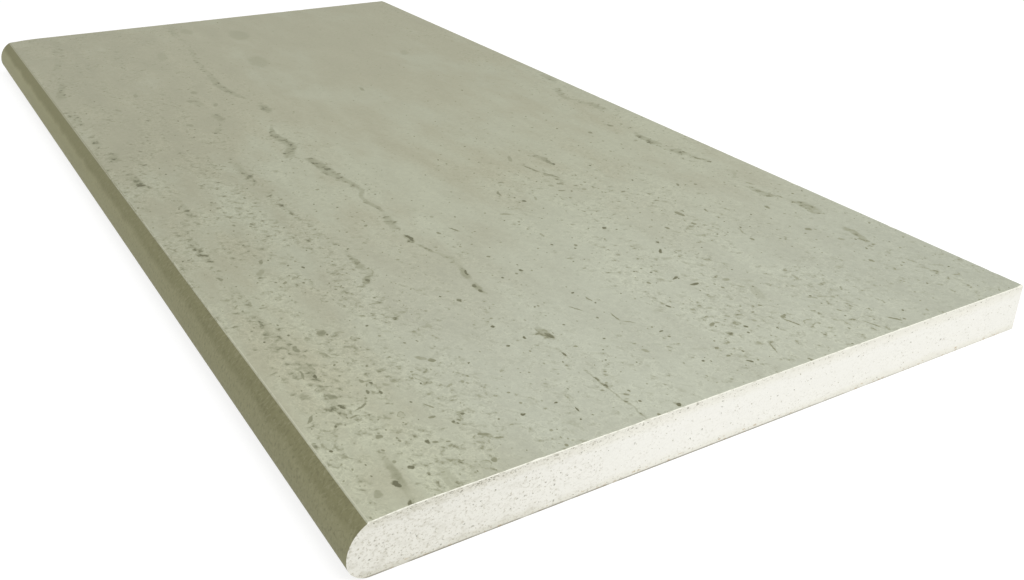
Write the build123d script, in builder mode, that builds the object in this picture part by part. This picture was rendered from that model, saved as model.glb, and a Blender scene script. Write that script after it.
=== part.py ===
from build123d import *
import os

os.makedirs("parts", exist_ok=True)

# Porcelain edge tile: one pressed and fired slab with one long edge rounded to a nose.
# It lies on its back. X runs along the nose, Y from the nose to the back edge, Z up.
# The origin is in the middle of the length and width, level with the bedding face.

# Slab
length = 600.0  # sawn end to sawn end, along the nose
width = 295.0  # tip of the nose to the back edge
thickness = 20.0  # bedding face to walking face

# Nose: two arcs that meet at its tip
nose_reach = 7.5  # tip of the nose in front of the arris
nose_height = 7.2  # height of the tip, and so the radius of the quarter round under it
arris_drop = 0.85  # arris below the level of the walking face
ease_run = 20.0  # length over which the walking face eases down to the arris

# Sawn edges
edge_bevel = 0.4  # rubbed off the upper edges of both ends and of the back edge

# Keyed back: a grid of shallow pockets that the bedding mortar grips
key_pitch = 26.0  # pocket to pocket, both ways
key_rib = 4.0  # rib left standing between two pockets
key_depth = 0.6
key_draft = 30.0  # slope of a pocket's walls, in degrees, so that the press lets go
key_margin = 12.0  # least flat border between the grid and the slab's edges

# Points of the section, as (Y, Z)
back_y = width / 2
nose_tip = (-width / 2, nose_height)
nose_foot = (nose_tip[0] + nose_height, 0.0)
arris = (nose_tip[0] + nose_reach, thickness - arris_drop)
ease_start = (arris[0] + ease_run, thickness)

# Grid of pockets, centred on the flat of the back
flat_width = back_y - nose_foot[0]
flat_centre_y = (back_y + nose_foot[0]) / 2
key_size = key_pitch - key_rib
keys_along = int((length - 2 * key_margin + key_rib) // key_pitch)
keys_across = int((flat_width - 2 * key_margin + key_rib) // key_pitch)

with BuildPart() as edge_tile:
    # The section, carried along the whole length
    with BuildSketch(Plane.YZ.offset(-length / 2)):
        with BuildLine():
            Line((back_y, 0.0), nose_foot)
            TangentArc(nose_foot, nose_tip, tangent=(-1, 0))
            TangentArc(nose_tip, arris, tangent=(0, 1))
            TangentArc(ease_start, arris, tangent=(-1, 0))
            Line(ease_start, (back_y, thickness))
            Line((back_y, thickness), (back_y, 0.0))
        make_face()
    extrude(amount=length)

    # Bevel on the sawn upper edges, but not on the arris or the nose
    upper_edges = edge_tile.edges().filter_by_position(
        Axis.Z, thickness - arris_drop / 2, thickness
    )
    end_edges = upper_edges.group_by(Axis.X)[0] + upper_edges.group_by(Axis.X)[-1]
    back_edge = upper_edges.group_by(Axis.Y)[-1]
    chamfer(end_edges + back_edge, length=edge_bevel)

    # Pockets pressed into the back
    with BuildSketch(Plane.XY):
        with Locations((0.0, flat_centre_y)):
            with GridLocations(key_pitch, key_pitch, keys_along, keys_across):
                Rectangle(key_size, key_size)
    extrude(amount=key_depth, taper=key_draft, mode=Mode.SUBTRACT)

edge_tile.part.label = "edge_tile"
export_step(edge_tile.part, "parts/edge_tile.step")
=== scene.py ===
import logging
import math
from dataclasses import dataclass, field
from enum import Enum
from typing import Any, Iterable, Mapping, Sequence

import bmesh
import bpy
from bmesh.types import BMEdge, BMesh, BMFace, BMVert
from bpy.types import CurveMapping, Material, NodeSocket, NodeTree, Object
from mathutils import Matrix, Vector, noise


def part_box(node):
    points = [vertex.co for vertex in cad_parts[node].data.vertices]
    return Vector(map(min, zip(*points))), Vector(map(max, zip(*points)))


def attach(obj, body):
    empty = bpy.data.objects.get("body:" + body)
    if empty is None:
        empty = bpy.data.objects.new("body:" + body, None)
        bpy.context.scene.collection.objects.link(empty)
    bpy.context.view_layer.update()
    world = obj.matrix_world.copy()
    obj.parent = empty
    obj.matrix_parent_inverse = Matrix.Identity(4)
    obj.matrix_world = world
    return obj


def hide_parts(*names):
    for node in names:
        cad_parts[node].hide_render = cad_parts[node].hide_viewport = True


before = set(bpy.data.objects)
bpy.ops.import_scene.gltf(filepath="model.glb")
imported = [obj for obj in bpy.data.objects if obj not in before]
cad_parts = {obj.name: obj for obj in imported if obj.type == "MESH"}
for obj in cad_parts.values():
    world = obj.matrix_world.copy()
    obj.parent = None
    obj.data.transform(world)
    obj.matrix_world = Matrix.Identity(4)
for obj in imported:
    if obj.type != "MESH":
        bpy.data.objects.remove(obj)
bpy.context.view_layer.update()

MM = 0.001  # a millimetre, in metres
CLOSE = 1e-6  # two places nearer than this are the same, in metres
REPORT = logging.getLogger("edge_tile")

Colour = tuple[float, float, float, float]
Point = tuple[float, float]
Place = tuple[float, float, float]
WHITE: Colour = (1.0, 1.0, 1.0, 1.0)


def paint(red: int, green: int, blue: int) -> Colour:
    """Turn a screen colour into the linear colour that a shader takes.

    Args:
        red: Screen red, 0 to 255.
        green: Screen green, 0 to 255.
        blue: Screen blue, 0 to 255.

    Returns:
        The linear colour, with an alpha of 1.
    """
    def linear(value: int) -> float:
        """Undo the screen curve of one channel."""
        share = value / 255
        return share / 12.92 if share <= 0.04045 else ((share + 0.055) / 1.055) ** 2.4

    return (linear(red), linear(green), linear(blue), 1.0)


def unique(items: Iterable[Any]) -> list[Any]:
    """Keep each item once, in the order in which they come."""
    return list(dict.fromkeys(items))


def set_down(name: str, mesh: BMesh) -> Object:
    """Turn a finished mesh into an object at the origin.

    Args:
        name: The object's name.
        mesh: The mesh, which is freed.

    Returns:
        The object.
    """
    thing = bpy.data.objects.new(name, bpy.data.meshes.new(name))
    mesh.to_mesh(thing.data)
    mesh.free()
    bpy.context.scene.collection.objects.link(thing)
    return thing


@dataclass(frozen=True)
class Term:
    """A socket of a recipe. Arithmetic on numbers adds the Math nodes that do it."""

    recipe: "Recipe"
    socket: NodeSocket

    def math(self, operation: str, *values: "Term | float") -> "Term":
        """Add a Math node that works on the values, in their order."""
        return self.recipe.node("ShaderNodeMath", {"operation": operation}, dict(enumerate(values)))

    def __add__(self, other: "Term | float") -> "Term":
        """Add two numbers."""
        return self.math("ADD", self, other)

    def __radd__(self, other: float) -> "Term":
        """Add a term to a plain number."""
        return self.math("ADD", other, self)

    def __sub__(self, other: "Term | float") -> "Term":
        """Take a number away."""
        return self.math("SUBTRACT", self, other)

    def __rsub__(self, other: float) -> "Term":
        """Take a term away from a plain number."""
        return self.math("SUBTRACT", other, self)

    def __mul__(self, other: "Term | float") -> "Term":
        """Multiply two numbers."""
        return self.math("MULTIPLY", self, other)

    def __rmul__(self, other: float) -> "Term":
        """Multiply a plain number by a term."""
        return self.math("MULTIPLY", other, self)

    def __truediv__(self, other: "Term | float") -> "Term":
        """Divide by a number."""
        return self.math("DIVIDE", self, other)

    def __abs__(self) -> "Term":
        """Drop the sign."""
        return self.math("ABSOLUTE", self)

    def above(self, limit: "Term | float") -> "Term":
        """Give 1 where the term is above the limit, else 0."""
        return self.math("GREATER_THAN", self, limit)

    def larger(self, other: "Term | float") -> "Term":
        """Give the larger of two numbers."""
        return self.math("MAXIMUM", self, other)

    def fade(self, none: "Term | float", full: "Term | float") -> "Term":
        """Rise smoothly from 0 at the first value to 1 at the second, which may be the lower."""
        return self.recipe.node("ShaderNodeMapRange", {"interpolation_type": "SMOOTHSTEP"},
                                {"Value": self, "From Min": none, "From Max": full})


class Recipe:
    """The node tree of one finish."""

    def __init__(self, name: str, tree: NodeTree | None = None) -> None:
        """Start an empty tree.

        Args:
            name: The material's name.
            tree: A tree to fill; a new material's own where it is left out.
        """
        self.material = None if tree else bpy.data.materials.new(name)
        if self.material:
            self.material.use_nodes = True
        self.tree = tree or self.material.node_tree
        self.tree.nodes.clear()

    def node(self, kind: str, settings: Mapping[str, Any] | None = None,
             sockets: Mapping[int | str, Any] | None = None, out: int | str = 0) -> Term:
        """Add a node, set it up and connect it.

        Args:
            kind: The node's type.
            settings: What is set on the node before its sockets; `curve` holds a Float Curve's points.
            sockets: A plain value or a term for each input, by index, identifier or name.
            out: The output that is wanted, by index or identifier.

        Returns:
            That output.
        """
        node = self.tree.nodes.new(kind)
        for name, value in (settings or {}).items():
            if name == "curve":
                self._bend(node.mapping, value)
            else:
                setattr(node, name, value)
        for key, value in (sockets or {}).items():
            socket = self._find(node.inputs, key)
            if isinstance(value, Term):
                self.tree.links.new(value.socket, socket)
            else:
                socket.default_value = value
        return Term(self, self._find(node.outputs, out))

    @staticmethod
    def _find(sockets: Any, key: int | str) -> NodeSocket:
        """Find a socket.

        Args:
            sockets: A node's inputs or outputs.
            key: The index, identifier or name.

        Returns:
            The socket.
        """
        if isinstance(key, int):
            return sockets[key]
        return next(socket for socket in sockets if key in (socket.identifier, socket.name))

    @staticmethod
    def _bend(mapping: CurveMapping, points: Sequence[Point]) -> None:
        """Give a Float Curve its points.

        Args:
            mapping: The node's curve.
            points: Places on it, from left to right, all within 0 to 1.
        """
        curve = mapping.curves[0]
        curve.points[0].location = points[0]
        curve.points[1].location = points[-1]
        for point in points[1:-1]:
            curve.points.new(*point)
        for point in curve.points:
            point.handle_type = "AUTO_CLAMPED"
        mapping.update()

    def place(self) -> Term:
        """Give the place on the object, in millimetres."""
        spot = self.node("ShaderNodeTexCoord", out="Object")
        return self.vector("SCALE", spot, Scale=1 / MM)

    def wall(self, place: Term) -> Term:
        """Unroll the upright faces: the run along the wall, and the height."""
        x, y, z = self.axes(place)
        return self.join(x + y, z)

    def vector(self, operation: str, first: Term, second: Any = None, **others: Any) -> Term:
        """Add a Vector Math node.

        Args:
            operation: The node's operation.
            first: Its first input.
            second: Its second input, where it has one.
            others: Further inputs, by name.

        Returns:
            The resulting vector.
        """
        sockets: dict[int | str, Any] = {0: first, **others}
        if second is not None:
            sockets[1] = second
        return self.node("ShaderNodeVectorMath", {"operation": operation}, sockets)

    def axes(self, place: Term) -> tuple[Term, Term, Term]:
        """Split a vector into its three numbers."""
        node = self.node("ShaderNodeSeparateXYZ", sockets={0: place}).socket.node
        x, y, z = (Term(self, output) for output in node.outputs)
        return x, y, z

    def join(self, x: Any, y: Any, z: Any = 0.0) -> Term:
        """Make a vector of three numbers."""
        return self.node("ShaderNodeCombineXYZ", sockets={0: x, 1: y, 2: z})

    def noise(self, place: Term, size: Point, detail: float = 2.0, rough: float = 0.5,
              seed: float = 0.0, out: int = 0) -> Term:
        """Add cloudy noise in a plane.

        Args:
            place: The place in the plane, in millimetres.
            size: The size of a cloud along the plane's two axes, in millimetres.
            detail: How many finer layers it has.
            rough: How strong the finer layers are.
            seed: Another number gives another pattern.
            out: 0 for a number, 1 for a colour.

        Returns:
            The noise, about 0.5 on average.
        """
        return self.node("ShaderNodeTexNoise", {"noise_dimensions": "2D"},
                         {"Vector": self.scaled(place, size, seed), "Scale": 1.0, "Detail": detail,
                          "Roughness": rough}, out)

    def grain(self, place: Term, size: Point, seed: float) -> Term:
        """Add the finest noise of a surface."""
        return self.noise(place, size, 2.0, 0.6, seed)

    def scaled(self, place: Term, size: Point, seed: float) -> Term:
        """Count a place in clouds or cells of a size in millimetres, shifted by the seed."""
        return self.vector("MULTIPLY_ADD", place, (1 / size[0], 1 / size[1], 1.0),
                           **{"Vector_002": (seed, seed * 0.7, 0.0)})

    def warp(self, place: Term, size: float, reach: float, seed: float) -> Term:
        """Push places about at random, so that what is drawn there is irregular.

        Args:
            place: The place, in millimetres.
            size: The size of a bend, in millimetres.
            reach: How far a place moves at most, in millimetres.
            seed: Another number gives another pattern.

        Returns:
            The moved place.
        """
        colour = self.noise(place, (size, size), 1.0, seed=seed, out=1)
        shove = self.vector("SUBTRACT", colour, (0.5, 0.5, 0.5))
        return self.vector("ADD", place, self.vector("SCALE", shove, Scale=reach * 2))

    def mix(self, below: Any, above: Any, share: Any, blend: str = "MIX") -> Term:
        """Lay one colour over another, so that a share of the upper one shows."""
        return self.node("ShaderNodeMix", {"data_type": "RGBA", "blend_type": blend},
                         {"Factor_Float": share, "A_Color": below, "B_Color": above}, "Result_Color")

    def tone(self, colour: Any, gain: Term) -> Term:
        """Make a colour lighter or darker."""
        return self.mix(colour, self.join(gain, gain, gain), 1.0, "MULTIPLY")

    def bump(self, height: Term, depth: float) -> Term:
        """Turn a height of 0 to 1 into a normal; the depth of the whole range is in millimetres."""
        return self.node("ShaderNodeBump", sockets={"Strength": 1.0, "Distance": depth * MM, "Height": height})

    def close(self, surface: Term) -> None:
        """Send a shader to the tree's output."""
        kind = "ShaderNodeOutputMaterial" if self.material else "ShaderNodeOutputWorld"
        output = self.tree.nodes.new(kind)
        self.tree.links.new(surface.socket, output.inputs["Surface"])


@dataclass(frozen=True)
class Scatter:
    """A family of small marks, one at most in each cell of an irregular grid.

    The cell is in millimetres. The least and the most radius of a mark are shares of the cell, and the share says in
    how many of the cells there is a mark at all.
    """

    cell: Point
    share: float
    least: float
    most: float
    strength: float
    seed: float
    soft: float = 0.5

    def draw(self, recipe: Recipe, place: Term, density: Any = 1.0) -> Term:
        """Draw the marks.

        Args:
            recipe: The tree to add to.
            place: The place in the face's plane, in millimetres.
            density: How many of the marks are kept, 0 to 1.

        Returns:
            The marks' strength, 0 where there is none.
        """
        cells = recipe.node("ShaderNodeTexVoronoi", {"voronoi_dimensions": "2D"},
                            {"Vector": recipe.scaled(place, self.cell, self.seed), "Scale": 1.0,
                             "Randomness": 0.9}).socket.node
        lot, girth, dark = recipe.axes(Term(recipe, cells.outputs["Color"]))
        radius = self.least + (self.most - self.least) * girth * girth
        disc = Term(recipe, cells.outputs["Distance"]).fade(radius, radius * (1 - self.soft))
        kept = 1 - lot.above(self.share * density)
        return disc * kept * (self.strength * (0.45 + 0.55 * dark))


@dataclass(frozen=True)
class Vein:
    """A dark seam that runs along the slab. All in millimetres from the slab's middle."""

    path: tuple[Point, ...]
    breadth: tuple[Point, ...]
    strength: tuple[Point, ...]
    half_run: float = 300
    half_width: float = 150
    widest: float = 4
    edge: float = 2.3
    core: float = 0.5

    def _curve(self, recipe: Recipe, x: Term, points: Sequence[Point], low: float, high: float) -> Term:
        """Follow a line of points.

        Args:
            recipe: The tree to add to.
            x: The place along the slab.
            points: The line, as places along the slab and values.
            low: The lowest value that the line may have.
            high: The highest.

        Returns:
            The line's value at x.
        """
        span = high - low
        run = 2 * self.half_run
        bent = [((along + self.half_run) / run, (value - low) / span) for along, value in points]
        return low + span * recipe.node("ShaderNodeFloatCurve", {"curve": bent}, {"Value": (x + self.half_run) / run})

    def draw(self, recipe: Recipe, x: Term, y: Term) -> Term:
        """Say how much the seam opens the stone.

        Args:
            recipe: The tree to add to.
            x: The place along the slab, already warped, in millimetres.
            y: The place across it.

        Returns:
            1 in the middle of the seam where it is strongest, 0 away from it.
        """
        centre = self._curve(recipe, x, self.path, -self.half_width, self.half_width)
        breadth = self._curve(recipe, x, self.breadth, 0, self.widest)
        strength = self._curve(recipe, x, self.strength, 0, 1)
        return (abs(y - centre) / breadth).fade(self.edge, self.core) * strength


@dataclass(frozen=True)
class Blots:
    """Larger marks of one look, each with a place of its own. Millimetres from the slab's middle."""

    strength: float
    hollow: float
    spots: tuple[tuple[float, float, float, float, float], ...]
    halo: float = 1.3
    level: float = 20.0
    depth: float = 1000.0

    def draw(self, recipe: Recipe, place: Term, wear: Term) -> Term:
        """Draw the marks.

        Args:
            recipe: The tree to add to.
            place: The place, already warped, in millimetres.
            wear: Fine noise that eats into the marks.

        Returns:
            The marks' strength.
        """
        inmost: Term | None = None
        for x, y, half_length, half_breadth, turn in self.spots:
            spot = recipe.node(
                "ShaderNodeMapping", {"vector_type": "TEXTURE"},
                {"Vector": place, "Location": (x, y, self.level), "Rotation": (0.0, 0.0, math.radians(turn)),
                 "Scale": (half_length * self.halo, half_breadth * self.halo, self.depth)})
            inside = recipe.node("ShaderNodeTexGradient", {"gradient_type": "SPHERICAL"}, {"Vector": spot}, 1)
            inmost = inside if inmost is None else inmost.larger(inside)
        uneven = inmost * (0.3 + 1.4 * wear)
        mark = uneven.fade(0.04, 0.5) * (0.55 + 0.8 * wear)
        if self.hollow:
            mark = mark * (1 - self.hollow * uneven.fade(0.24, 0.50)) * wear.fade(0.40, 0.56)
        return mark * self.strength


@dataclass(frozen=True)
class Finish:
    """What every finish has: roughness, more of it on its grain, relief in millimetres, and shine."""

    rough: float = 0.6
    rough_grain: float = 0.1
    relief: float = 0.04
    shine: float = 0.3

    def build(self) -> Material:
        """Mix the finish; each one has a way of its own."""
        raise NotImplementedError

    def close(self, recipe: Recipe, colour: Term, grain: Term, height: Term) -> Material:
        """Close a recipe with a plain surface.

        Args:
            recipe: The finish's tree.
            colour: Its colour.
            grain: Its finest noise.
            height: The height of its relief, 0 to 1.

        Returns:
            The finished material.
        """
        rough = self.rough + self.rough_grain * grain
        normal = recipe.bump(height, self.relief)
        recipe.close(recipe.node("ShaderNodeBsdfPrincipled", sockets={
            "Base Color": colour, "Roughness": rough, "Specular IOR Level": self.shine, "Normal": normal}))
        return recipe.material


# Each line of a seam is a list of points: the place along the slab, and the value there
SEAMS = (
    Vein(  # main seam
        path=((-300, -30), (-262, -34), (-220, -36), (-190, -41), (-153, -44), (-123, -46), (-100, -43), (-67, -37),
              (-40, -44), (-18, -49), (0, -47), (8, -51), (17, -54), (23, -47), (50, -45), (73, -41), (87, -45),
              (103, -43.5), (125, -47), (150, -45), (167, -40), (178, -42), (197, -44), (238, -41), (252, -43),
              (300, -42.6)),
        breadth=((-300, 1.2), (-270, 2.4), (-220, 1.5), (-150, 1.8), (-100, 2), (-67, 2.2), (-50, 0.6), (-20, 1.7),
                 (17, 2.5), (21, 0.8), (24, 2.2), (60, 1.8), (75, 1.2), (100, 1), (125, 1.9), (131, 0.7), (138, 1.3),
                 (144, 0.6), (155, 0.6), (167, 2.4), (175, 1.1), (192, 1.2), (203, 0.4), (215, 0.35), (238, 1.4),
                 (246, 0.3), (300, 0.35)),
        strength=((-300, 0.1), (-270, 0.6), (-245, 0.2), (-220, 0.45), (-150, 0.55), (-123, 0.7), (-95, 0.6),
                  (-85, 0.15), (-67, 0.9), (-52, 0.15), (-35, 0.5), (-18, 0.9), (0, 0.8), (17, 0.75), (20, 0.1),
                  (24, 0.85), (60, 0.75), (85, 0.7), (100, 0.8), (107, 0.45), (116, 0.75), (125, 0.5), (130, 0.3),
                  (138, 1), (143, 0.3), (148, 0.75), (158, 0.55), (172, 0.5), (178, 0.95), (184, 0.8), (187, 0.4),
                  (192, 0.9), (197, 0.8), (201, 0.3), (225, 0.1), (238, 0.9), (245, 0.05), (251, 0.6), (262, 0.3),
                  (270, 0.75), (280, 0.7), (300, 0.6))),
    Vein(  # back seam
        path=((-300, 147), (-60, 144), (-35, 143), (-19, 134.5), (0, 129), (8, 130), (20, 135.5), (36, 134),
              (55, 129), (83, 124.5), (111, 127.5), (127, 130.5), (145, 132.5), (152, 127), (175, 125), (185, 130),
              (197, 132), (212, 128), (230, 127.7), (245, 124), (262, 127), (300, 127)),
        breadth=((-300, 1), (-47, 2.2), (0, 2), (30, 2.1), (60, 1.3), (90, 2.2), (111, 2.4), (125, 1.2), (145, 1.4),
                 (175, 2), (197, 2.5), (230, 1.3), (300, 1)),
        strength=((-300, 0), (-62, 0), (-50, 0.6), (-36, 0.65), (-28, 0.1), (-19, 0.6), (0, 0.65), (8, 0.4),
                  (14, 0.7), (30, 0.6), (40, 0.15), (66, 0.3), (74, 0.65), (90, 0.85), (97, 0.35), (110, 0.8),
                  (116, 0.45), (126, 0.6), (132, 0.1), (149, 0.6), (156, 0.1), (165, 0.35), (175, 0.75), (182, 0.4),
                  (197, 0.8), (205, 0.6), (215, 0.2), (230, 0.85), (240, 0.5), (247, 0.3), (262, 0.25), (285, 0.3),
                  (300, 0))),
    Vein(  # seam beside the nose
        path=((-300, -112), (-263, -115), (-213, -124), (-175, -129), (-150, -134.5), (-93, -136), (-53, -135),
              (-25, -131.6), (17, -130), (45, -120), (65, -121), (90, -128), (165, -127), (220, -125), (247, -125.6),
              (277, -124), (300, -126.5)),
        breadth=((-300, 2.4), (-150, 2), (-25, 1.6), (17, 1.3), (60, 0.9), (120, 1.5), (200, 1.3), (262, 1),
                 (290, 1.2), (300, 0.9)),
        strength=((-300, 0.3), (-262, 0.5), (-240, 0.25), (-215, 0.6), (-200, 0.1), (-175, 0.5), (-150, 0.7),
                  (-135, 0.15), (-93, 0.6), (-80, 0.1), (-53, 0.6), (-40, 0.2), (-25, 0.85), (-15, 0.2), (0, 0.3),
                  (17, 0.9), (28, 0.2), (45, 0.5), (60, 0.55), (75, 0.2), (110, 0.6), (125, 0.3), (165, 0.5),
                  (205, 0.5), (220, 0.7), (232, 0.4), (247, 0.6), (262, 0.2), (277, 0.5), (290, 0.9), (295, 0.5),
                  (300, 0.8))),
    Vein(  # broken seam behind it
        path=((-300, -68), (-94, -68), (-61, -66), (-41, -74), (0, -82), (30, -82), (100, -79), (130, -76),
              (158, -76), (167, -80), (195, -82), (300, -85)),
        breadth=((-300, 1.5), (-94, 2.2), (-61, 2), (-30, 1.4), (30, 1.8), (100, 1.3), (152, 1.3), (165, 1.4),
                 (195, 1.3), (300, 1)),
        strength=((-300, 0), (-125, 0), (-94, 0.6), (-84, 0.1), (-61, 0.8), (-52, 0.2), (-43, 0.7), (-30, 0.1),
                  (10, 0.4), (30, 0.65), (50, 0.25), (70, 0.4), (110, 0.25), (140, 0.5), (152, 0.8), (158, 0.4),
                  (165, 0.9), (172, 0.1), (195, 0.45), (215, 0.1), (232, 0.3), (250, 0), (300, 0))),
    Vein(  # short seam towards the back
        path=((-300, 56), (70, 56), (82, 58.5), (92, 53), (100, 48), (113, 49.5), (125, 44), (140, 38), (160, 34),
              (300, 30)),
        breadth=((-300, 1), (82, 1.7), (92, 0.8), (112, 1.2), (140, 1), (300, 1)),
        strength=((-300, 0), (60, 0), (74, 0.2), (82, 0.85), (90, 0.2), (97, 0.4), (112, 0.6), (120, 0.2), (140, 0.4),
                  (160, 0.3), (175, 0.35), (200, 0), (300, 0))),
)

# Each spot is its place along and across the slab, half its length, half its breadth and its turn in degrees
SPOTS = (
    Blots(strength=1, hollow=0, spots=(  # dark holes
        (238.5, -40.3, 3, 1, 10), (235.5, -49.2, 0.9, 0.6, 0), (267.3, -92.3, 0.8, 0.8, 0),
        (275.3, -109, 1.3, 0.8, 0), (242.5, -109.6, 1.2, 0.7, 0), (284.5, -119, 1.2, 0.8, 30),
        (244.5, -124, 2, 1, 20), (289.3, -126.5, 1.9, 1.1, 0), (299, -127, 1.6, 1, 0), (223, -124.3, 1.8, 0.7, 0),
        (283.5, -59, 1.8, 0.35, 0), (277, -63.2, 0.6, 0.5, 0), (277, -75.7, 0.7, 0.8, 0), (240.8, -75.5, 0.6, 0.5, 0),
        (137.5, -46.2, 4.4, 1.1, 0), (165.5, -79, 1.5, 1, 10), (141.8, -96.8, 1.1, 0.6, 0), (225, 29.5, 0.8, 1.8, 25),
        (233, 32.5, 0.8, 1.7, 0), (202, 40.5, 2.2, 0.7, -30), (269.5, 26, 1, 0.9, 0), (126, 19.5, 1.3, 1, -25),
        (170, 33.8, 1.1, 1.2, 0), (91.5, 59, 1.7, 0.9, -20), (298, -28.7, 1.3, 0.8, 0), (256.7, -3, 0.6, 0.7, 0),
        (215, -14.2, 0.8, 0.7, 0), (194, 45, 1, 0.8, 0), (243, 11.5, 1.2, 0.7, 20), (289, 10.5, 1.3, 0.6, 30),
        (236, -109.5, 1.1, 0.6, 30), (240.5, -113, 1.3, 0.6, 0), (179, -41.5, 2.8, 0.7, -15), (190.5, -44, 2, 1, -10),
        (196, -44.2, 1.6, 1, 0), (188, -21, 1.2, 0.8, 0), (198.5, -55.5, 1.6, 0.8, -10), (223, -55, 1.2, 0.7, 0),
        (237.5, -57.5, 0.8, 0.8, 0), (252.5, -43, 1.5, 0.6, -5))),
    Blots(strength=0.7, hollow=0, spots=(  # softer holes and hairs
        (196, -111, 2.6, 1.8, 0), (233, -85, 1.2, 1.3, 0), (299, 30, 1.6, 0.5, 20), (258, -99.3, 2.6, 0.5, 25),
        (263.8, -101.3, 0.7, 1.2, 0), (251, -122.5, 0.6, 1.8, 0), (237.5, -124.5, 2.2, 1.5, 35),
        (202, -123, 3, 1.2, 0), (220, -127.8, 3, 0.5, -5), (245, -135, 2.2, 0.6, -40), (115.5, -57, 1.2, 1.1, 0),
        (148.5, -76.3, 2.2, 0.8, 0), (162.5, -77, 0.8, 2, 0), (128.5, -109.5, 2.8, 0.9, -30),
        (151.5, -108, 1.5, 0.7, -30), (86.5, -107.2, 1.4, 0.6, 0), (135, -129, 2.2, 0.8, 15),
        (270.8, 44.3, 0.9, 1.9, 25), (275.5, 43.8, 4.5, 0.5, 14), (286, 24.3, 4.8, 0.35, -22),
        (241, 40.5, 1.2, 0.7, 0), (223.3, 17.3, 1.2, 0.7, 0), (262, 16.5, 0.9, 1.7, 20), (276.5, 6.7, 1, 0.9, 0),
        (282.3, 6.5, 0.8, 0.8, 0), (222.5, -11.7, 2.4, 0.5, 10), (88, 58.5, 5, 1.3, -8), (112, 14, 3.2, 0.8, -12),
        (174, 73.5, 3.5, 1.3, 0), (186, 72, 2, 1, 0), (177, 87, 2, 0.8, -10), (145, 96.3, 1.8, 0.7, -35),
        (179, 12.3, 1.2, 1, 0), (239.5, -11.2, 3.8, 0.4, -7), (245, -9.5, 3, 0.4, 45), (226.5, -20.5, 3, 0.4, 27),
        (292, 69, 4, 0.5, 20), (293, 79.5, 2.6, 0.5, 30), (188, 114.5, 2, 1, 0), (184, 58, 1.6, 0.8, 0),
        (212, 83, 1.6, 0.9, -10), (216, 112.5, 1.6, 1.3, 0), (253, 112, 1.6, 1, 0), (233, -112, 1.4, 0.7, 0),
        (265.5, -121, 1.5, 1.2, 0), (293.5, -96, 1.3, 1, 0), (139, -25, 3.8, 0.6, 20), (139, -32.5, 1.8, 0.8, -10),
        (170, -26, 1, 0.8, 0), (121, 129.5, 3, 0.9, 0), (91, 45, 7, 0.7, 10), (104, 49, 5.5, 0.8, 22),
        (60, 104, 1.8, 1.2, 0), (55, 121, 2.2, 1.4, 0), (247, -118.5, 2.8, 0.5, -58), (276.5, -107, 0.9, 0.7, 60),
        (278, -103.5, 0.9, 0.5, 50), (281.5, -103, 0.6, 0.6, 0), (280.5, -92, 2.2, 0.5, 56), (284, -89, 2, 0.5, 64),
        (100.5, 22, 1.5, 1, 90), (120, 58.5, 1, 1, 0), (116, 46.5, 2, 0.9, 60), (123.5, 42, 1.8, 0.8, 60),
        (148.5, 104.5, 1, 0.9, 0), (127.5, 131, 1.4, 1, 0))),
    Blots(strength=0.45, hollow=0, spots=(  # faint smears
        (138, -113, 4, 1.5, -25), (149, -103.5, 2, 0.8, -30), (236, 46, 1.2, 1.6, 0), (102.5, 47.5, 2.4, 1.6, 10),
        (127.5, 53, 1.5, 1.1, 0), (126, 26, 2.2, 0.7, -20), (249, 72.3, 2.4, 0.9, 0), (203.5, 85, 4.2, 0.5, -12),
        (231, 117.5, 2, 1.1, 30), (265, 65.5, 2.2, 0.8, 40), (268, 73, 1.3, 0.9, 0), (260, 26, 1.5, 0.8, 20),
        (265, -17, 1.7, 1, 20), (267, 32, 1.6, 0.8, 20), (256.5, -114, 1.7, 0.5, 0), (135, 3.5, 2.6, 1.2, 60),
        (121.5, -27, 1.4, 0.8, 0), (116, 41, 2, 1, 0), (-118, -64, 3.4, 2, 0), (-102, -71, 3, 2.2, 20),
        (-88, -60, 3.6, 1.4, -12), (-58, -84, 3.2, 1.6, 15), (-128, -96, 3.6, 1.5, 0), (-104, -112, 3, 1.5, 20),
        (-77, 28, 4.5, 1.4, -10), (163, 5.5, 2.4, 0.7, 0), (230, -88, 3, 1.2, 40), (216.5, -123, 3.4, 0.8, 0),
        (234, -110.5, 2.1, 0.7, 80), (239, -105.5, 1.4, 0.7, 40), (250.5, -88, 2, 0.6, -60),
        (257.5, -114, 1.6, 0.7, 60), (161, 128.5, 3, 0.9, 16), (74, 43, 5, 1.2, -20), (290.5, -132.5, 1.8, 1.3, 10),
        (82.5, 118, 1.4, 1, 0))),
    Blots(strength=0.27, hollow=0, halo=1.6, spots=(  # broad shadows in the far half
        (-167, -6, 14, 5.5, -8), (-143, 90, 6, 2.6, -20), (-243, 6, 13, 6, -6), (-270, -24, 8, 3.6, 0),
        (-210, -58, 10, 3.2, -10), (251, 49.5, 6, 1.8, -18), (298, -112, 9, 1.6, 0))),
    Blots(strength=0.95, hollow=0.75, spots=(  # rings
        (294, -99.5, 2.3, 1.8, -35), (219, -127, 2.1, 2.2, 0), (231, -126, 1.8, 1.7, 0), (242, -94, 4.4, 1.4, 20),
        (242.5, -88, 1.1, 1.7, 20), (282, -93.5, 3.2, 2.2, 0), (258, -134.5, 5.4, 3.2, -12),
        (270.5, -137.3, 2.6, 2, 0), (279, 50, 2.2, 2.6, 0), (258, -109.5, 2, 1.3, 0), (158, -75, 2.6, 2, 0),
        (276.5, -57, 2.6, 1, 10), (205, -102, 1.6, 1.5, 0), (132, 37.5, 2.8, 1.4, 0), (-17, -53, 3, 2.4, 0))),
)


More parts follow.
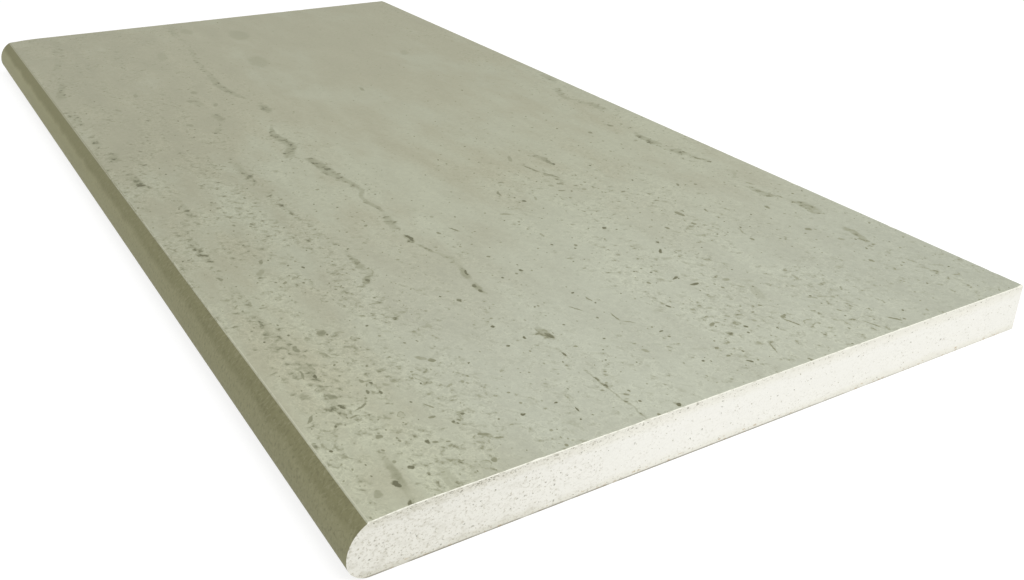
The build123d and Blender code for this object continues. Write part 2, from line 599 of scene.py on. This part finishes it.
@dataclass(frozen=True)
class PrintedStone(Finish):
    """Matt travertine print on the walking face."""

    rough: float = 0.62
    rough_grain: float = 0.12
    relief: float = 0.1
    shine: float = 0.25
    slant: float = 34.0
    green: Colour = paint(178, 180, 158)
    warm: Colour = paint(176, 175, 151)
    cool: Colour = paint(178, 181, 165)
    shade: Colour = paint(104, 104, 80)
    smoke: Colour = paint(146, 147, 122)
    veins: tuple[Vein, ...] = SEAMS
    blots: tuple[Blots, ...] = SPOTS
    pits: tuple[Scatter, ...] = (
        Scatter((2.6, 2.2), 0.45, 0.10, 0.34, 0.5, 41.0, 0.8),
        Scatter((6.4, 4.6), 0.45, 0.05, 0.18, 0.9, 47.0, 0.6),
        Scatter((1.3, 1.1), 0.40, 0.10, 0.26, 0.42, 53.0, 0.8),
    )
    dots: Scatter = Scatter((9.0, 7.0), 0.42, 0.045, 0.11, 1.0, 59.0)

    def build(self) -> Material:
        """Mix the print.

        Returns:
            The material.
        """
        recipe = Recipe("printed_stone")
        place = recipe.place()
        bent = recipe.warp(place, 6.0, 0.9, 66.0)
        ragged = recipe.warp(bent, 1.6, 0.4, 71.0)
        grain = recipe.grain(place, (0.8, 0.7), 12.0)
        turned = recipe.node("ShaderNodeVectorRotate", {"rotation_type": "Z_AXIS"},
                             {"Vector": ragged, "Angle": math.radians(-self.slant)})
        mottle = recipe.noise(turned, (3.2, 2.5), 4.0, 0.7, 5.0)
        x, y, _ = recipe.axes(ragged)

        closeness: Term | None = None
        for vein in self.veins:
            drawn = vein.draw(recipe, x, y)
            closeness = drawn if closeness is None else closeness.larger(drawn)
        density = self._bands(x, y) * recipe.noise(place, (40.0, 14.0), 2.0, 0.55, 15.0).fade(0.28, 0.60)
        field = recipe.noise(turned, (4.0, 3.1), 3.0, 0.58, 21.0)
        opened = field + 0.13 * density + 0.22 * closeness
        marks = opened.fade(0.64, 0.98).larger(abs(opened - 0.66).fade(0.025, 0.0) * 0.26)
        marks = marks.larger(closeness.fade(0.12, 0.95) * (0.16 + 0.6 * field))
        smudge = recipe.noise(turned, (8.0, 5.0), 4.0, 0.68, 35.0).fade(0.52, 0.80) * (0.16 + 0.50 * density)
        marks = marks.larger(smudge)
        # Pale rims round the marks: partly the print's own pale edges, partly painted highlight where relief would
        # catch the light
        rims = opened.fade(0.51, 0.60) * opened.fade(0.68, 0.60) * (0.2 + 0.8 * density)
        kept = 0.12 + 0.88 * density
        for pit in self.pits:
            marks = marks.larger(pit.draw(recipe, ragged, kept))
        marks = marks.larger(self.dots.draw(recipe, bent, x.fade(-120.0, 80.0)))
        for blot in self.blots:
            marks = marks.larger(blot.draw(recipe, ragged, mottle))

        colour = self._ground(recipe, place, (grain, mottle), x, y)
        # Lighten the rims: the print's pale edges together with painted highlight
        colour = recipe.tone(colour, 1 + 0.13 * rims)
        colour = recipe.mix(colour, self.smoke, marks.fade(0.0, 0.65))
        colour = recipe.mix(colour, self.shade, marks.fade(0.5, 1.1))
        height = 0.6 * recipe.noise(turned, (2.7, 2.1), 2.0, 0.6, 31.0) + 0.4 * grain
        return self.close(recipe, colour, grain, height)

    def _ground(self, recipe: Recipe, place: Term, fine: tuple[Term, Term], x: Term, y: Term) -> Term:
        """Mix the clouds and strata between the marks, and paint the light's fall-off: the print is lighter towards
        the near end.

        Args:
            recipe: The tree to add to.
            place: The place, in millimetres.
            fine: The print's finest grain, and its mottling.
            x: The place along the slab.
            y: The place across it.

        Returns:
            The ground's colour.
        """
        drift = recipe.noise(place, (46.0, 17.0), 4.0, 0.65, 2.0)
        tide = recipe.noise(place, (120.0, 50.0), 2.0, 0.5, 8.0)
        grain, mottle = fine
        age = 0.5 * drift + 0.5 * tide + 0.06 * y.fade(-30.0, -90.0) + 0.20 * x.fade(120.0, -220.0)
        colour = recipe.mix(self.green, self.warm, age.fade(0.40, 0.70))
        colour = recipe.mix(colour, self.cool, x.fade(60.0, 280.0) * y.fade(-125.0, -70.0) * 0.8)
        bed = 0.06 * x.fade(120.0, 290.0) * y.fade(-110.0, -60.0) - 0.05 * y.fade(-40.0, -90.0) * x.fade(290.0, 60.0)
        bed = bed - 0.11 * x.fade(150.0, 300.0) * y.fade(25.0, 130.0)
        bed = bed - 0.03 * y.fade(-60.0, -105.0) * x.fade(-140.0, 0.0) * x.fade(240.0, 130.0)
        near = x.fade(-200.0, 280.0)
        speckle = (mottle - 0.5) * (0.09 + 0.14 * near) + (grain - 0.5) * (0.05 + 0.14 * near)
        calm = 1 - 0.45 * x.fade(110.0, -120.0) * y.fade(-30.0, 30.0)
        # 0.06 * near is painted light: the print is made lighter towards the near end, standing in for the light
        #                               falling off towards the far end
        gain = 0.945 + bed + 0.06 * near + calm * (0.20 * (0.5 - drift) + 0.08 * (0.5 - tide)) + speckle
        return recipe.tone(colour, gain)

    @staticmethod
    def _bands(x: Term, y: Term) -> Term:
        """Say where the stone is porous.

        Args:
            x: The place along the slab.
            y: The place across it.

        Returns:
            0 in the close-grained bands, 1 in the open ones.
        """
        front = y.fade(-56.0, -88.0) * (0.6 + 0.4 * x.fade(-200.0, 60.0))
        middle = y.fade(-10.0, 14.0) * y.fade(122.0, 76.0) * x.fade(-40.0, 200.0) * 0.8
        near = x.fade(225.0, 280.0) * 0.6
        back = y.fade(108.0, 122.0) * 0.4
        return front.larger(middle).larger(back).larger(near).larger(y.fade(-22.0, -34.0) * 0.45)


@dataclass(frozen=True)
class NoseStain(Finish):
    """Darker olive stain on the rounded nose, in two coats."""

    rough: float = 0.62
    rough_grain: float = 0.12
    relief: float = 0.06
    shine: float = 0.25
    upper: Colour = paint(123, 121, 87)
    lower: Colour = paint(149, 147, 114)
    shade: Colour = paint(100, 98, 72)
    glint: Colour = paint(160, 158, 130)
    hem: float = 15.2

    def build(self) -> Material:
        """Mix the stain.

        Returns:
            The material.
        """
        recipe = Recipe("nose_stain")
        x, _, z = recipe.axes(recipe.place())
        place = recipe.join(x, z)
        ragged = recipe.warp(place, 1.6, 0.8, 71.0)
        hem = self.hem + 2.6 * (recipe.noise(place, (20.0, 20.0), 3.0, 0.6, 2.0) - 0.5)
        cloud = recipe.noise(place, (34.0, 6.0), 3.0, 0.6, 7.0)
        grain = recipe.grain(place, (0.8, 0.8), 9.0)
        streak = recipe.noise(ragged, (1.3, 1.2), 3.0, 0.65, 13.0)
        near = x.fade(-300.0, 280.0)
        coat = 0.22 * near + (1 - 0.42 * near) * (z - hem).fade(-1.3, 1.3)
        colour = recipe.mix(self.lower, self.upper, coat)
        colour = recipe.tone(colour, 0.98 + 0.14 * cloud + 0.10 * grain - 0.15 * near)
        open_near = 0.25 + 0.75 * near
        colour = recipe.mix(colour, self.shade, streak.fade(0.50, 0.76) * open_near * 0.5)
        colour = recipe.mix(colour, self.glint, streak.fade(0.48, 0.26) * open_near * 0.32)
        return self.close(recipe, colour, grain, 0.5 * grain - 0.5 * streak)


@dataclass(frozen=True)
class SawnBody(Finish):
    """Bare porcelain body, as the saw and the grinding wheel leave it."""

    rough_grain: float = 0.15
    relief: float = 0.05
    shine: float = 0.2
    body: Colour = paint(238, 237, 230)
    cream: Colour = paint(231, 229, 216)
    speck: Colour = paint(186, 182, 165)
    grit: Colour = paint(132, 129, 112)
    rust: Colour = paint(190, 172, 142)
    skin: float = 16.2
    foot: float = 2.4
    dust: Scatter = Scatter((1.1, 1.0), 0.5, 0.12, 0.36, 1.0, 21.0)
    pits: Scatter = Scatter((2.6, 2.1), 0.45, 0.06, 0.22, 1.0, 27.0, 0.7)
    rim: Scatter = Scatter((1.5, 0.6), 0.7, 0.16, 0.46, 1.0, 33.0)
    chips: Scatter = Scatter((2.8, 1.0), 0.75, 0.12, 0.44, 1.0, 39.0)

    def build(self) -> Material:
        """Mix the body.

        Returns:
            The material.
        """
        recipe = Recipe("sawn_body")
        spot = recipe.place()
        _, y, _ = recipe.axes(spot)
        place = recipe.wall(spot)
        ragged = recipe.warp(place, 0.8, 0.4, 71.0)
        _, z, _ = recipe.axes(place)
        cloud = recipe.noise(place, (16.0, 7.0), 3.0, 0.5, 3.0)
        grain = recipe.grain(place, (0.7, 0.7), 5.0)
        soil = y.fade(-30.0, -152.0)
        uneven = z + 3.0 * (cloud - 0.5)
        outer = uneven.fade(self.skin - 1.8, self.skin + 2.4).larger(uneven.fade(self.foot + 1.4, self.foot - 1.8))
        colour = recipe.mix(self.body, self.cream, (outer * (0.6 + 0.4 * soil)).larger(0.45 * soil))
        # Slightly darker along the bottom of the sawn end and just under its top edge
        darker_foot_and_top = 0.05 * uneven.fade(self.foot, -0.4) + 0.03 * z.fade(17.0, 19.6)
        colour = recipe.tone(colour, 0.965 + 0.03 * cloud + 0.07 * grain - 0.07 * soil - 0.06 * soil * outer - darker_foot_and_top)
        dense = 0.18 + 0.85 * soil + 0.3 * cloud.fade(0.4, 0.65) + 0.3 * outer * y.fade(120.0, -60.0)
        patch = recipe.noise(place, (4.6, 2.8), 3.0, 0.6, 11.0)
        colour = recipe.mix(colour, self.speck, patch.fade(0.48, 0.74) * (0.04 + 0.26 * soil + 0.1 * outer))
        fibre = recipe.noise(ragged, (1.3, 0.9), 3.0, 0.65, 17.0).fade(0.50, 0.74)
        colour = recipe.mix(colour, self.speck, fibre * dense * 0.6)
        colour = recipe.mix(colour, self.speck, self.dust.draw(recipe, ragged, dense) * 0.9)
        pits = self.pits.draw(recipe, ragged, dense)
        rim = self.rim.draw(recipe, ragged, z.fade(17.6, 19.0) * (dense + 0.6 * soil))
        colour = recipe.mix(colour, self.grit, pits.larger(rim) * 0.85)
        chips = self.chips.draw(recipe, ragged, z.fade(self.foot, 0.2))
        colour = recipe.mix(colour, self.rust, chips * 0.9)
        # A thin, broken dark line along the very bottom of the sawn end, strongest towards the nose side
        colour = recipe.mix(colour, self.grit, z.fade(0.7, 0.2) * y.fade(150.0, -20.0) * cloud.fade(0.25, 0.5) * 0.85)
        height = 0.6 * grain + 0.4 * recipe.noise(place, (2.5, 0.5), 2.0, 0.5, 43.0)
        return self.close(recipe, colour, grain, height)


@dataclass(frozen=True)
class RubbedEdge(Finish):
    """Cream line where a sharp edge was rubbed down to the body."""

    cream: Colour = paint(239, 238, 225)
    dust: Colour = paint(198, 197, 180)

    def build(self) -> Material:
        """Mix the edge.

        Returns:
            The material.
        """
        recipe = Recipe("rubbed_edge")
        place = recipe.place()
        _, y, _ = recipe.axes(place)
        soil = y.fade(-70.0, -150.0)
        patch = recipe.noise(place, (3.0, 3.0), 3.0, 0.6, 4.0)
        grain = recipe.grain(place, (0.5, 0.5), 6.0)
        colour = recipe.mix(self.cream, self.dust, (patch + 0.08 * soil).fade(0.5, 0.72) * 0.7)
        return self.close(recipe, colour, grain, grain)


@dataclass(frozen=True)
class WornArris(Finish):
    """The stain where the arris above the nose has worn a little."""

    stain: Colour = paint(146, 144, 118)
    bare: Colour = paint(192, 192, 170)

    def build(self) -> Material:
        """Mix the worn line.

        Returns:
            The material.
        """
        recipe = Recipe("worn_arris")
        place = recipe.place()
        x, _, _ = recipe.axes(place)
        patch = recipe.noise(place, (9.0, 9.0), 4.0, 0.65, 4.0)
        grain = recipe.grain(place, (0.5, 0.5), 6.0)
        colour = recipe.mix(self.stain, self.bare, (patch + 0.0012 * x).fade(0.46, 0.74))
        return self.close(recipe, colour, grain, grain)


@dataclass(frozen=True)
class KeyedBack(Finish):
    """Pressed back: bare body with a dusting of kiln wash on its ribs."""

    rough: float = 0.75
    relief: float = 0.12
    body: Colour = paint(216, 211, 196)
    wash: Colour = paint(236, 234, 226)
    scorch: Colour = paint(186, 174, 148)
    floor: float = 0.6
    specks: Scatter = Scatter((5.0, 5.0), 0.4, 0.05, 0.16, 0.8, 23.0)

    def build(self) -> Material:
        """Mix the back.

        Returns:
            The material.
        """
        recipe = Recipe("keyed_back")
        place = recipe.place()
        _, _, z = recipe.axes(place)
        cloud = recipe.noise(place, (60.0, 60.0), 4.0, 0.6, 3.0)
        patch = recipe.noise(place, (5.0, 5.0), 4.0, 0.65, 6.0)
        grain = recipe.grain(place, (0.8, 0.8), 9.0)
        rib = z.fade(self.floor * 0.9, self.floor * 0.1)
        colour = recipe.tone(self.body, 0.90 + 0.10 * cloud + 0.08 * grain)
        colour = recipe.mix(colour, self.wash, rib * patch.fade(0.30, 0.62) * 0.85)
        colour = recipe.mix(colour, self.scorch, cloud.fade(0.58, 0.75) * 0.3)
        colour = recipe.mix(colour, self.scorch, self.specks.draw(recipe, place) * 0.8)
        return self.close(recipe, colour, grain, 0.5 * patch + 0.3 * grain)


class Surface(Enum):
    """The finishes of the slab, in the order of its material slots."""

    PRINT = 0
    NOSE = 1
    SAWN = 2
    RUBBED = 3
    ARRIS = 4
    BACK = 5


@dataclass
class NoseSection:
    """The slab's section: two arcs that meet at the nose's tip, and an eased top. Metres."""

    front: float
    back: float
    top: float
    reach: float = 7.5 * MM
    tip_height: float = 7.2 * MM
    arris_drop: float = 0.85 * MM
    ease_run: float = 20.0 * MM
    foot_steps: int = 20
    brow_steps: int = 24
    ease_steps: int = 10

    @property
    def arris(self) -> Vector:
        """The section's visible edge, as (Y, Z)."""
        return Vector((self.front + self.reach, self.top - self.arris_drop))

    @staticmethod
    def _arc(mesh: BMesh, start: BMVert, centre: Point, angle: float, steps: int) -> BMVert:
        """Carry the section's line on along an arc.

        Args:
            mesh: The mesh that holds the line.
            start: The line's end.
            centre: The arc's centre, as (Y, Z).
            angle: The arc's angle about X, in radians.
            steps: How many edges it has.

        Returns:
            The line's new end.
        """
        turned = bmesh.ops.spin(mesh, geom=[start], cent=(start.co.x, *centre), axis=(1, 0, 0), angle=angle,
                                steps=steps, use_merge=False, use_duplicate=False)
        return next(item for item in turned["geom_last"] if isinstance(item, BMVert))

    @staticmethod
    def _run(mesh: BMesh, start: BMVert, target: Point) -> BMVert:
        """Carry the section's line straight on.

        Args:
            mesh: The mesh that holds the line.
            start: The line's end.
            target: Where it goes, as (Y, Z).

        Returns:
            The line's new end.
        """
        end = bmesh.ops.extrude_vert_indiv(mesh, verts=[start])["verts"][0]
        end.co = (start.co.x, *target)
        return end

    def draw(self, mesh: BMesh, x: float) -> BMFace:
        """Draw the section at one end of the slab.

        Args:
            mesh: An empty mesh.
            x: The place of that end.

        Returns:
            The section's face.
        """
        rise = self.arris.y - self.tip_height
        brow = (self.reach ** 2 + rise ** 2) / (2 * self.reach)
        ease = (self.ease_run ** 2 + self.arris_drop ** 2) / (2 * self.arris_drop)
        ease_end = self.arris.x + self.ease_run
        first = mesh.verts.new((x, self.back, 0.0))
        line = self._run(mesh, first, (self.front + self.tip_height, 0.0))
        line = self._arc(mesh, line, (self.front + self.tip_height, self.tip_height), -math.pi / 2, self.foot_steps)
        line = self._arc(mesh, line, (self.front + brow, self.tip_height), -math.asin(rise / brow), self.brow_steps)
        line = self._arc(mesh, line, (ease_end, self.top - ease), -math.asin(self.ease_run / ease), self.ease_steps)
        line = self._run(mesh, line, (self.back, self.top))
        mesh.edges.new((line, first))
        return bmesh.ops.contextual_create(mesh, geom=mesh.edges[:])["faces"][0]


@dataclass
class KeyGrid:
    """Shallow drafted pockets pressed into the back. Metres."""

    centre: Point
    pitch: float = 26.0 * MM
    rib: float = 4.0 * MM
    depth: float = 0.6 * MM
    draft: float = 30.0
    along: int = 22
    across: int = 10
    softness: float = 0.22 * MM
    slack: float = 0.02

    def press(self, mesh: BMesh, back: BMFace) -> None:
        """Press the pockets into the back.

        Args:
            mesh: The slab's mesh, its normals outward.
            back: The flat of its back.
        """
        size = self.pitch - self.rib
        faces = [back]
        for axis, count in ((0, self.along), (1, self.across)):
            for index in range(count):
                middle = self.centre[axis] + (index - (count - 1) / 2) * self.pitch
                for side in (-0.5, 0.5):
                    spot, normal = [0.0, 0.0, 0.0], [0.0, 0.0, 0.0]
                    spot[axis], normal[axis] = middle + side * size, 1.0
                    faces = self._cut(mesh, faces, spot, normal)
        pockets = [face for face in faces if self._is_pocket(face)]
        bmesh.ops.inset_individual(mesh, faces=pockets, depth=-self.depth, use_even_offset=True,
                                   thickness=self.depth * math.tan(math.radians(self.draft)))
        rims = unique(edge for face in pockets for edge in face.edges)
        walls = unique(link for edge in rims for link in edge.link_faces if link not in pockets)
        edges = unique(edge for wall in walls for edge in wall.edges)
        bmesh.ops.bevel(mesh, geom=edges, offset=self.softness, offset_type="OFFSET", segments=2, profile=0.5,
                        affect="EDGES", clamp_overlap=True, material=-1)

    @staticmethod
    def _cut(mesh: BMesh, faces: list[BMFace], spot: Sequence[float], normal: Sequence[float]) -> list[BMFace]:
        """Cut the back along one line of the grid.

        Args:
            mesh: The slab's mesh.
            faces: The back's faces so far.
            spot: A point of the cut.
            normal: The cut's normal.

        Returns:
            The back's faces after the cut.
        """
        edges = unique(edge for face in faces for edge in face.edges)
        verts = unique(vert for face in faces for vert in face.verts)
        cut = bmesh.ops.bisect_plane(mesh, geom=[*faces, *edges, *verts], plane_co=spot, plane_no=normal)
        return [item for item in cut["geom"] if isinstance(item, BMFace)]

    def _is_pocket(self, face: BMFace) -> bool:
        """Say whether a face of the cut back is a pocket's mouth."""
        middle = face.calc_center_median()
        for axis, count in ((0, self.along), (1, self.across)):
            step = (middle[axis] - self.centre[axis]) / self.pitch + (count - 1) / 2
            if abs(step - round(step)) > self.slack or not 0 <= round(step) < count:
                return False
        return True


@dataclass
class SawnRim:
    """The rubbed and slightly chipped edges of the sawn ends and back, and the worn arris. Metres."""

    half_length: float
    back: float
    top: float
    arris_y: float
    bevel: float = 0.4 * MM
    arris_bevel: float = 0.15 * MM
    rim_drop: float = 1.2 * MM
    spacing: float = 0.9 * MM
    unevenness: float = 0.16 * MM
    most_raised: float = 0.2 * MM
    grain_size: float = 1.3 * MM
    chip_size: float = 7.0 * MM
    chip_seed: Place = (9.1, 3.7, 5.3)
    chip_onset: float = 0.28
    chip_gain: float = 9.0
    grain_gain: float = 0.6
    end_gain: float = 0.7

    def rub(self, mesh: BMesh) -> None:
        """Bevel the upper edges and the arris, and roughen the bevels.

        Args:
            mesh: The slab's mesh.
        """
        upper = [edge for edge in mesh.edges if self._is_upper(edge)]
        rubbed = bmesh.ops.bevel(mesh, geom=upper, offset=self.bevel, offset_type="OFFSET", segments=1,
                                 profile=0.5, affect="EDGES", clamp_overlap=True, material=-1)["faces"]
        for face in rubbed:
            face.material_index = Surface.RUBBED.value
        arris = [edge for edge in mesh.edges if self._is_arris(edge)]
        worn = bmesh.ops.bevel(mesh, geom=arris, offset=self.arris_bevel, offset_type="OFFSET", segments=2,
                               profile=0.5, affect="EDGES", clamp_overlap=True, material=-1)["faces"]
        for face in worn:
            face.material_index = Surface.ARRIS.value
        self._roughen(mesh)

    def _is_upper(self, edge: BMEdge) -> bool:
        """Say whether an edge is an upper edge of an end or of the back."""
        middle = (edge.verts[0].co + edge.verts[1].co) / 2
        along = abs(edge.verts[0].co.x - edge.verts[1].co.x)
        if self._at_end(middle) and along < CLOSE:
            return middle.y > self.arris_y and middle.z > self.top - self.rim_drop
        return middle.y > self.back - CLOSE and middle.z > self.top - CLOSE

    def _at_end(self, spot: Vector) -> bool:
        """Say whether a point lies in the plane of a sawn end."""
        return abs(abs(spot.x) - self.half_length) < CLOSE

    def _is_arris(self, edge: BMEdge) -> bool:
        """Say whether an edge runs along the arris above the nose."""
        ends = [vert.co for vert in edge.verts]
        level = all(abs(end.y - self.arris_y) < 10 * CLOSE for end in ends)
        return level and abs(ends[0].x - ends[1].x) > self.half_length

    def _roughen(self, mesh: BMesh) -> None:
        """Split the bevels' long edges and shift their points a little along the faces beside them.

        Args:
            mesh: The slab's mesh.
        """
        rubbed = [face for face in mesh.faces if face.material_index == Surface.RUBBED.value]
        edges = unique(edge for face in rubbed for edge in face.edges)
        for edge in [edge for edge in edges if edge.calc_length() > 3 * self.spacing]:
            cuts = int(edge.calc_length() / self.spacing)
            bmesh.ops.bisect_edges(mesh, edges=[edge], cuts=cuts)
        rubbed = [face for face in mesh.faces if face.material_index == Surface.RUBBED.value]
        for vert in unique(vert for face in rubbed for vert in face.verts):
            self._shift(vert)
        bmesh.ops.triangulate(mesh, faces=rubbed, quad_method="BEAUTY", ngon_method="BEAUTY")

    def _shift(self, vert: BMVert) -> None:
        """Move a bevel's point along the face that it borders.

        Args:
            vert: The point.
        """
        spot = vert.co
        grain = noise.noise(spot / self.grain_size) * self.unevenness * self.grain_gain
        flaw = noise.noise(spot / self.chip_size + Vector(self.chip_seed)) - self.chip_onset
        wear = grain + max(0.0, flaw) * self.unevenness * self.chip_gain
        at_end, at_back = self._at_end(spot), abs(spot.y - self.back) < CLOSE
        by_end = abs(spot.x) > self.half_length - 1.5 * self.bevel
        by_back = spot.y > self.back - 1.5 * self.bevel
        if at_end != at_back:
            spot.z -= max(wear, -self.most_raised) * self.end_gain
        elif by_end and not by_back:
            spot.x -= math.copysign(wear, spot.x)
        elif by_back and not by_end:
            spot.y -= wear


@dataclass
class FiredSlab:
    """The edge tile: one fired slab, ground to a nose, sawn, and keyed on its back."""

    low: Vector
    high: Vector
    crease: float = 18.0
    broad: float = 0.01
    square_on: float = 0.9
    finishes: dict[Surface, Finish] = field(default_factory=lambda: {
        Surface.PRINT: PrintedStone(), Surface.NOSE: NoseStain(), Surface.SAWN: SawnBody(),
        Surface.RUBBED: RubbedEdge(), Surface.ARRIS: WornArris(), Surface.BACK: KeyedBack()})

    def build(self) -> Object:
        """Make the slab and dress it.

        Returns:
            The slab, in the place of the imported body.
        """
        section = NoseSection(self.low.y, self.high.y, self.high.z)
        mesh = bmesh.new()
        face = section.draw(mesh, self.low.x)
        swept = bmesh.ops.extrude_face_region(mesh, geom=[face])["geom"]
        bmesh.ops.translate(mesh, vec=(self.high.x - self.low.x, 0.0, 0.0),
                            verts=[item for item in swept if isinstance(item, BMVert)])
        bmesh.ops.recalc_face_normals(mesh, faces=mesh.faces[:])
        self._sort_faces(mesh, section)
        foot = self.low.y + section.tip_height
        back = next(face for face in mesh.faces if face.material_index == Surface.BACK.value)
        KeyGrid(((self.low.x + self.high.x) / 2, (foot + self.high.y) / 2)).press(mesh, back)
        SawnRim(self.high.x, self.high.y, self.high.z, section.arris.x).rub(mesh)
        for vert in mesh.verts:
            vert.co = (vert.co.x, max(vert.co.y, self.low.y), min(vert.co.z, self.high.z))
        self._crease(mesh)
        slab = set_down("fired_slab", mesh)
        for surface in Surface:
            slab.data.materials.append(self.finishes[surface].build())
        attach(slab, "root")
        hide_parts("edge_tile")
        return slab

    def _sort_faces(self, mesh: BMesh, section: NoseSection) -> None:
        """Give each face of the plain prism its finish.

        Args:
            mesh: The slab's mesh.
            section: Its section.
        """
        for face in mesh.faces:
            middle = face.calc_center_median()
            if abs(face.normal.x) > self.square_on or face.normal.y > self.square_on:
                surface = Surface.SAWN
            elif middle.y < self.low.y + section.tip_height and middle.y < section.arris.x:
                surface = Surface.NOSE
            elif face.normal.z > 0:
                surface = Surface.PRINT
            else:
                surface = Surface.BACK
            face.material_index = surface.value

    def _crease(self, mesh: BMesh) -> None:
        """Shade the round parts smooth and keep the edges crisp.

        Args:
            mesh: The slab's mesh.
        """
        for face in mesh.faces:
            face.smooth = Surface(face.material_index) not in (Surface.SAWN, Surface.RUBBED)
        limit = math.radians(self.crease)
        for edge in mesh.edges:
            if len(edge.link_faces) == 2:
                first, second = edge.link_faces
                flat = max(first.calc_area(), second.calc_area()) > self.broad
                edge.smooth = edge.calc_face_angle(0.0) < limit and not flat


@dataclass
class Studio:
    """A pale floor and soft plain light."""

    floor_size: float = 12.0
    floor_level: float = -0.0003
    ambient: float = 0.75
    key_power: float = 4.9
    key_size: float = 0.6
    key_place: Place = (0.95, 0.12, 0.9)
    key_aim: Place = (0.15, 0.0, 0.0)
    floor_lit: Colour = (0.85, 0.85, 0.84, 1.0)
    floor_veil: Colour = (0.32, 0.32, 0.32, 1.0)
    floor_glow: float = 0.78

    def build(self) -> None:
        """Make the floor, the world and the lamp."""
        self._floor()
        self._world()
        self._lamp("key_light", self.key_place, self.key_aim, self.key_size, self.key_power)

    def _floor(self) -> None:
        """Lay a white floor that keeps a soft shadow."""
        mesh = bmesh.new()
        bmesh.ops.create_grid(mesh, x_segments=1, y_segments=1, size=self.floor_size / 2)
        bmesh.ops.translate(mesh, vec=(0.0, 0.0, self.floor_level), verts=mesh.verts[:])
        floor = set_down("studio_floor", mesh)
        recipe = Recipe("studio_white")
        seen = self._seen(recipe)
        lit = recipe.node("ShaderNodeBsdfDiffuse", sockets={"Color": self.floor_lit})
        veil = recipe.node("ShaderNodeBsdfDiffuse", sockets={"Color": self.floor_veil})
        glow = recipe.node("ShaderNodeEmission", sockets={"Color": WHITE, "Strength": self.floor_glow})
        shown = recipe.node("ShaderNodeAddShader", sockets={0: veil, 1: glow})
        recipe.close(recipe.node("ShaderNodeMixShader", sockets={0: seen, 1: lit, 2: shown}))
        floor.data.materials.append(recipe.material)

    def _world(self) -> None:
        """Surround the slab with even light, and white where it is seen."""
        world = bpy.data.worlds.new("studio_world")
        world.use_nodes = True
        bpy.context.scene.world = world
        recipe = Recipe("studio_world", world.node_tree)
        seen = self._seen(recipe)
        even = recipe.node("ShaderNodeBackground", sockets={"Color": WHITE, "Strength": self.ambient})
        white = recipe.node("ShaderNodeBackground", sockets={"Color": WHITE, "Strength": 1.0})
        recipe.close(recipe.node("ShaderNodeMixShader", sockets={0: seen, 1: even, 2: white}))

    @staticmethod
    def _seen(recipe: Recipe) -> Term:
        """Say whether a ray is one that shows the background."""
        rays = recipe.node("ShaderNodeLightPath").socket.node
        names = ("Is Camera Ray", "Is Glossy Ray", "Is Transmission Ray")
        camera, glossy, through = (Term(recipe, rays.outputs[name]) for name in names)
        return camera.larger(glossy).larger(through)

    @staticmethod
    def _lamp(name: str, place: Sequence[float], aim: Sequence[float], size: float, power: float) -> None:
        """Hang one softbox.

        Args:
            name: Its name.
            place: Where it hangs.
            aim: The point that it faces.
            size: Its side.
            power: Its power, in watts.
        """
        light = bpy.data.lights.new(name, "AREA")
        light.shape = "SQUARE"
        light.size = size
        light.energy = power
        lamp = bpy.data.objects.new(name, light)
        lamp.location = place
        lamp.rotation_euler = (Vector(place) - Vector(aim)).to_track_quat("Z", "Y").to_euler()
        bpy.context.scene.collection.objects.link(lamp)


@dataclass(frozen=True)
class Viewpoint:
    """The place from which the slab was photographed."""

    place: Place = (0.51652, -0.22961, 0.21048)
    azimuth: float = 58.1
    elevation: float = 27.15
    roll: float = 0.95
    lens: float = 37.38
    sensor: float = 36.0
    nearest: float = 0.01

    def build(self) -> None:
        """Set up the camera."""
        turn, rise = math.radians(self.azimuth), math.radians(self.elevation)
        back = Vector((math.sin(turn) * math.cos(rise), -math.cos(turn) * math.cos(rise), math.sin(rise)))
        right = (-back).cross(Vector((0.0, 0.0, 1.0))).normalized()
        up = right.cross(-back)
        level = Matrix((right, up, back)).transposed().to_4x4()
        camera = bpy.data.objects.new("camera", bpy.data.cameras.new("camera"))
        camera.data.lens = self.lens
        camera.data.sensor_width = self.sensor
        camera.data.clip_start = self.nearest
        roll = Matrix.Rotation(math.radians(self.roll), 4, "Z")
        camera.matrix_world = Matrix.Translation(self.place) @ level @ roll
        bpy.context.scene.collection.objects.link(camera)
        bpy.context.scene.camera = camera


def main() -> None:
    """Build the tile, the studio and the camera."""
    logging.basicConfig(level=logging.INFO, format="%(name)s: %(message)s")
    bpy.context.scene.view_settings.view_transform = "Standard"
    low, high = (Vector(corner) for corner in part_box("edge_tile"))
    Viewpoint().build()
    Studio().build()
    slab = FiredSlab(low, high).build()
    REPORT.info("%s: %d faces", slab.name, len(slab.data.polygons))


if __name__ == "__main__":
    main()
